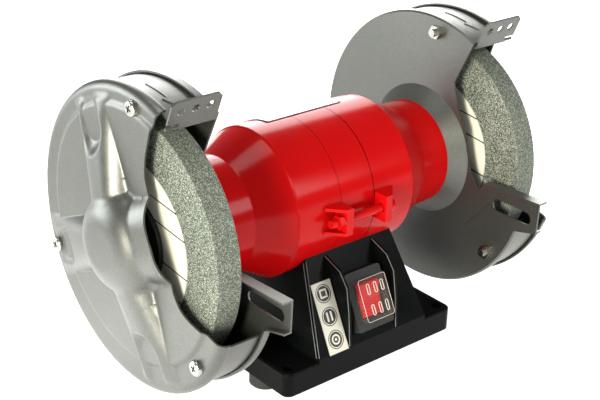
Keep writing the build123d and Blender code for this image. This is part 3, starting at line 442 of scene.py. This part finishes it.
# x is measured along the spindle, the rest from its axis; cut lists the work opening's edge.
cover = {
    "edgeX": 125.0, "ringX": 131.6, "faceX": 133.4, "radius": 91.1, "rimRound": 5.4, "wall": 1.2,
    "bevel": 0.3, "rimFrom": 81.0, "rimWidth": 4.7,
    "stepMiddle": 76.0, "stepShift": 5.0, "stepToward": 60.0, "stepWidth": 3.4,
    "arms": (113.0, 203.0, 293.0), "armHalf": 17.6, "armPower": 2.9, "armFoot": 1.0,
    "armRound": 0.3, "behind": 5.0, "frontArm": 23.0, "frontHalf": 25.0,
    "crestAt": (0.0, 22.0, 40.0, 60.0, 74.0, 80.0, 85.5),
    "crest": (11.8, 11.4, 8.6, 5.4, 2.6, 0.8, -1.8),
    "scoopShift": (3.0, 0.0, -3.0), "scoopFrom": 66.0, "scoopHalf": 12.0, "scoopFloor": 3.5,
    "scoopBase": 0.4, "scoopRise": 4.6, "scoopRound": 2.2,
    "domeTop": 149.9, "domeFlat": 12.0, "domeRound": 20.0, "domeSteep": 0.98, "domeReach": 34.0,
    "domeBlend": 1.2,
    "cut": ((-36.2, 104.0), (-28.4, 82.2), (-19.3, 52.0), (-23.1, 38.6), (-30.5, 26.0),
            (-38.0, 13.0), (-42.5, 0.0), (-44.5, -9.5), (-47.1, -14.3), (-52.9, -21.4),
            (-64.3, -24.6), (-75.7, -25.7), (-130.0, -41.0)),
    "cutRounds": 2, "cutRuns": 12, "innerRings": 22, "outerRings": 60, "outerPower": 1.5,
    "rollRings": 9, "columns": 470,
}


# Height of the stamped cover along the spindle at y, z from it: ring, raised face inside an
# off-centre step, four arms with a crest(reach) * (1 - |across / half| ^ power) section, a U
# scoop at each rear arm's end, and the dome, flat in the middle and a ball's cap around that.
def coverHeight(y, z):
    reach = np.hypot(y, z)
    angle = np.arctan2(z, -y)
    toward = angle - math.radians(cover["stepToward"])
    step = cover["stepMiddle"] + cover["stepShift"] * np.cos(toward)
    outside = eased((reach - step) / cover["stepWidth"] + 0.5)
    height = cover["faceX"] + (cover["ringX"] - cover["faceX"]) * outside
    arms = [(at, cover["armHalf"], shift) for at, shift in zip(cover["arms"], cover["scoopShift"])]
    for at, half, shift in arms + [(cover["frontArm"], cover["frontHalf"], None)]:
        turn = math.radians(at)
        along = -y * math.cos(turn) + z * math.sin(turn)
        across = y * math.sin(turn) + z * math.cos(turn)
        crest = np.interp(along, cover["crestAt"], cover["crest"]) + cover["armFoot"]
        section = 1.0 - np.abs(across / half) ** cover["armPower"]
        arm = cover["faceX"] - cover["armFoot"] + crest * section
        arm = np.where(along > 0.0, arm, cover["ringX"] - cover["behind"])
        if shift is not None:
            beside = across - shift
            fromEnd = along - cover["scoopFrom"]
            middle = np.where(fromEnd < 0.0, np.hypot(fromEnd, beside), np.abs(beside))
            lift = (middle - cover["scoopFloor"]) / (cover["scoopHalf"] - cover["scoopFloor"])
            lift = cover["scoopRise"] * np.clip(lift, 0.0, None) ** 2.0
            trough = cover["ringX"] + cover["scoopBase"] + lift
            arm = -softMax(-arm, -trough, cover["scoopRound"])
        height = softMax(height, arm, cover["armRound"])
    ball = cover["domeRound"]
    slope = np.clip(reach - cover["domeFlat"], 0.0, ball * cover["domeSteep"])
    dome = cover["domeTop"] - ball + np.sqrt(ball ** 2 - slope ** 2)
    height = softMax(height, np.where(reach < cover["domeReach"], dome, 0.0), cover["domeBlend"])
    rim = eased((reach - cover["rimFrom"]) / cover["rimWidth"])
    return height + (cover["ringX"] - height) * rim


# Straight runs from corner to corner, each cut into count steps; the last corner is left out.
def joinedRuns(corners, count):
    runs = [np.linspace(a, b, count, endpoint=False) for a, b in zip(corners[:-1], corners[1:])]
    return np.concatenate(runs)


# The cover as rings of growing reach from its middle; each ring runs the long way round from the
# upper edge of the work opening to its lower edge, and the last rings roll over the rim.
def makeCover(side, name):
    cut = np.array(cover["cut"])
    for _ in range(cover["cutRounds"]):  # each round cuts the corners off the edge
        quarter = cut[:-1] * 0.75 + cut[1:] * 0.25, cut[:-1] * 0.25 + cut[1:] * 0.75
        cut = np.stack(quarter, axis=1).reshape(-1, 2)
    dense = joinedRuns(cut, cover["cutRuns"])
    far = np.hypot(dense[:, 0], dense[:, 1])
    angle = np.degrees(np.arctan2(dense[:, 1], -dense[:, 0]))
    near = int(np.argmin(far))  # where the edge comes nearest to the spindle
    roll = cover["rimRound"]
    bend = cover["radius"] - roll
    curl = np.radians(np.linspace(0.0, 90.0, cover["rollRings"]))[1:]
    inner = np.linspace(0.0, 1.0, cover["innerRings"], endpoint=False) * far[near]
    outer = np.linspace(0.0, 1.0, cover["outerRings"]) ** cover["outerPower"]
    outer = far[near] + (bend - far[near]) * outer
    reach = np.concatenate([inner, outer, bend + roll * np.sin(curl), [cover["radius"]]])
    back = cover["edgeX"] - cover["ringX"]
    drop = np.concatenate([inner * 0, outer * 0, roll * (np.cos(curl) - 1.0), [back]])
    lookup = np.maximum(reach, far[near])
    upper = np.interp(lookup, far[:near + 1][::-1], angle[:near + 1][::-1])
    lower = np.interp(lookup, far[near:], angle[near:])
    share = np.linspace(0.0, 1.0, cover["columns"])
    turn = np.radians(upper[:, None] + (360.0 + lower - upper)[:, None] * share)
    y, z = -reach[:, None] * np.cos(turn), reach[:, None] * np.sin(turn)
    x = np.where(drop[:, None] < 0.0, cover["ringX"] + drop[:, None], coverHeight(y, z))
    points = np.stack([side * x, y, z + axisHeight], axis=-1)
    piece = gridPiece(name, points, "guardSilver", "frame", flip=side < 0)
    addSolidify(piece, cover["wall"])
    addBevel(piece, cover["bevel"])
    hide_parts("guard_cover_" + ("right" if side > 0 else "left"))


makeCover(-1, "coverLeft")
makeCover(1, "coverRight")
print("guard covers made")


# A round bar of the given radius carried along a path of points (n, 3), closed or with flat
# ends: each cross section is a circle square to the path.
def barAlong(name, path, radius, finish, body, closed=False):
    sides = 8
    if closed:
        ahead = np.roll(path, -1, axis=0) - np.roll(path, 1, axis=0)
    else:
        ahead = np.gradient(path, axis=0)
    ahead = ahead / np.linalg.norm(ahead, axis=1, keepdims=True)
    spread = np.linalg.svd(path - path.mean(axis=0))[2][2]  # square to the path's own plane
    flat = np.cross(ahead, spread)
    flat = flat / np.maximum(np.linalg.norm(flat, axis=1, keepdims=True), 1e-9)
    other = np.cross(ahead, flat)
    size = np.full(len(path), radius)
    if not closed:
        path, flat, other = (np.concatenate([v[:1], v, v[-1:]]) for v in (path, flat, other))
        size = np.concatenate([[0.0], size, [0.0]])
    turn = np.linspace(0.0, 2.0 * math.pi, sides, endpoint=False)[None, :, None]
    ring = flat[:, None] * np.cos(turn) + other[:, None] * np.sin(turn)
    points = path[:, None] + ring * size[:, None, None]
    if closed:
        points = np.concatenate([points, points[:1]])
    return gridPiece(name, points, finish, body, wrapped=True)


# Points from their places on the front panel: across, up its slope, and out of it.
def onPanel(x, up, out):
    y = panelOrigin[1] + up * math.sin(panelLean) - out * math.cos(panelLean)
    z = panelOrigin[2] + up * math.cos(panelLean) + out * math.sin(panelLean)
    return np.stack([x, y, z], axis=-1)


loops = {"across": (-4.5, 1.2, 6.6), "up": (30.7, 18.0), "width": 1.9, "height": 6.4,
         "out": 12.85, "wire": 0.32, "steps": 40}
coverRim = {"middle": 24.5, "half": (10.75, 12.9), "round": 1.6, "out": 12.6, "wire": 0.2}


# Six raised loops on the clear cover, each a pill outline in the plane of its front, and a thin
# bead round that
# front: a rectangle with quarter-circle corners. They are pale and opaque, a painted highlight for
# clear ribs.
def makeLoops():
    t = np.linspace(0.0, 2.0 * math.pi, loops["steps"], endpoint=False)
    radius = loops["width"] / 2.0
    half = (loops["height"] - loops["width"]) / 2.0
    for row, up in enumerate(loops["up"]):
        for column, across in enumerate(loops["across"]):
            x = across + radius * np.cos(t)
            s = up + radius * np.sin(t) + half * np.sign(np.sin(t) + 1e-9)
            path = onPanel(x, s, np.full_like(x, loops["out"]))
            name = f"coverLoop{row}{column}"
            piece = barAlong(name, path, loops["wire"], "clearRib", "frame", True)
    corner = coverRim["round"]
    halfX, halfUp = coverRim["half"]
    x = np.where(np.cos(t) >= 0.0, 1.0, -1.0) * (halfX - corner) + corner * np.cos(t)
    s = np.where(np.sin(t) >= 0.0, 1.0, -1.0) * (halfUp - corner) + corner * np.sin(t)
    path = onPanel(x, coverRim["middle"] + s, np.full_like(x, coverRim["out"]))
    rim = barAlong("coverRim", path, coverRim["wire"], "clearRib", "frame", True)


makeLoops()
print("switch cover loops made")

fins = {"x": (-19.9, 18.1), "bead": 0.26, "steps": 14,
        "line": ((57.0, 0.4), (46.4, 10.4), (35.7, 12.7), (19.6, 7.8), (0.6, 0.3))}
ridges = {"top": ((-34.1, 57.6), (-35.6, 57.4)), "low": ((-43.7, 0.8), (-44.9, 1.2)),
          "out": (0.1, -0.9), "bead": 0.24, "steps": 30}


# A bead along the outer edge of each fin beside the switch, in a grey far paler than the black
# body: a painted highlight on the fin's rounded edge. Short straight runs joined point to point.
def makeFinBeads():
    line = np.array(fins["line"])
    dense = np.concatenate([joinedRuns(line, fins["steps"]), line[-1:]])
    for i, x in enumerate(fins["x"]):
        path = onPanel(np.full(len(dense), x), dense[:, 0], dense[:, 1])
        piece = barAlong(f"finBead{i}", path, fins["bead"], "edgeSheen", "frame")


# Two thin beads down the panel's left edge, pale grey as painted highlights, each a straight run
# between two places.
def makeRidges():
    share = np.linspace(0.0, 1.0, ridges["steps"])
    for i, (top, low, out) in enumerate(zip(ridges["top"], ridges["low"], ridges["out"])):
        x, up = (top[k] + (low[k] - top[k]) * share for k in (0, 1))
        path = onPanel(x, up, np.full_like(share, out))
        piece = barAlong(f"ridgeBead{i}", path, ridges["bead"], "edgeSheen", "frame")


makeFinBeads()
makeRidges()
print("fin edges made")

plate = {"x": (-31.0, 27.0), "turn": (92.9, 131.8), "radius": 47.25, "wall": 0.25,
         "steps": (30, 60)}


# The rating plate, bent round the motor: a sheet at one radius from the spindle between two angles.
def makeRatingPlate():
    stepsX, stepsTurn = plate["steps"]
    turns = np.radians(np.linspace(*plate["turn"], stepsTurn))
    x, turn = np.meshgrid(np.linspace(*plate["x"], stepsX), turns)
    y, z = -plate["radius"] * np.cos(turn), axisHeight + plate["radius"] * np.sin(turn)
    piece = gridPiece("ratingPlate", np.stack([x, y, z], axis=-1), "ratingPrint", "frame")
    addSolidify(piece, plate["wall"])
    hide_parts("rating_plate")


makeRatingPlate()
print("rating plate made")


# One large quad just below the feet.
def makeFloor():
    size, level = 6000.0, -0.4
    corners = np.array([(-size, -size, level), (size, -size, level),
                        (size, size, level), (-size, size, level)])
    mesh = bpy.data.meshes.new("floor")
    mesh.from_pydata((corners * mm).tolist(), [], [(0, 1, 2, 3)])
    floor = bpy.data.objects.new("floor", mesh)
    bpy.context.collection.objects.link(floor)
    floor.data.materials.append(finishes["floorPale"])


# Places and sizes of lights and camera are in metres, powers in watts, turns in degrees.
lights = {
    "back": {"place": (1.35, 1.55, 0.85), "size": (1.8, 1.5), "power": 62.0,
             "tint": (1, 1, 1)},
    "rear": {"place": (-0.75, 0.95, 0.35), "size": (0.7, 0.6), "power": 12.0,
             "tint": (0.93, 0.97, 1.0)},
    "top": {"place": (-0.2, 0.2, 1.7), "size": (0.7, 0.7), "power": 9.0,
            "tint": (1, 1, 1)},
    "left": {"place": (-1.35, -0.5, 0.4), "size": (0.4, 0.6), "power": 32.0,
             "tint": (1.0, 0.96, 0.84)},
    "front": {"place": (0.9, -1.5, 0.9), "size": (0.5, 0.7), "power": 10.0,
              "tint": (1, 1, 1)},
}
lightsAim = (0.0, 0.0, 0.1)
surroundings = {"colour": (1.0, 1.0, 1.0, 1.0), "strength": 0.22}
camera = {"place": (-0.4890, -0.5577, 0.4383), "heading": 40.93, "down": 24.99, "roll": 1.89,
          "lens": 79.12, "sensor": 36.0, "nearest": 0.01}


def makeLights():
    for name, facts in lights.items():
        data = bpy.data.lights.new(name, "AREA")
        data.shape, data.energy, data.color = "RECTANGLE", facts["power"], facts["tint"]
        data.size, data.size_y = facts["size"]
        lamp = bpy.data.objects.new(name, data)
        lamp.location = facts["place"]
        toAim = Vector(lightsAim) - Vector(facts["place"])
        lamp.rotation_euler = toAim.to_track_quat("-Z", "Y").to_euler()
        bpy.context.collection.objects.link(lamp)
    world = bpy.data.worlds.new("studio")
    bpy.context.scene.world = world
    world.use_nodes = True
    background = world.node_tree.nodes["Background"]
    background.inputs["Color"].default_value = surroundings["colour"]
    background.inputs["Strength"].default_value = surroundings["strength"]


# The camera looks along its heading (from +Y towards +X) and down, then rolls about that line.
def makeCamera():
    heading, down, roll = (math.radians(camera[k]) for k in ("heading", "down", "roll"))
    level = math.cos(down)
    ahead = Vector((math.sin(heading) * level, math.cos(heading) * level, -math.sin(down)))
    right = ahead.cross(Vector((0, 0, 1))).normalized()
    up = right.cross(ahead)
    across = right * math.cos(roll) + up * math.sin(roll)
    upright = up * math.cos(roll) - right * math.sin(roll)
    data = bpy.data.cameras.new("camera")
    data.lens, data.sensor_width = camera["lens"], camera["sensor"]
    data.clip_start = camera["nearest"]
    eye = bpy.data.objects.new("camera", data)
    turned = Matrix((across, upright, -ahead)).transposed().to_4x4()
    eye.matrix_world = Matrix.Translation(camera["place"]) @ turned
    bpy.context.collection.objects.link(eye)
    bpy.context.scene.camera = eye


makeFloor()
makeLights()
makeCamera()
bpy.context.scene.view_settings.view_transform = "Standard"
print("stage set")
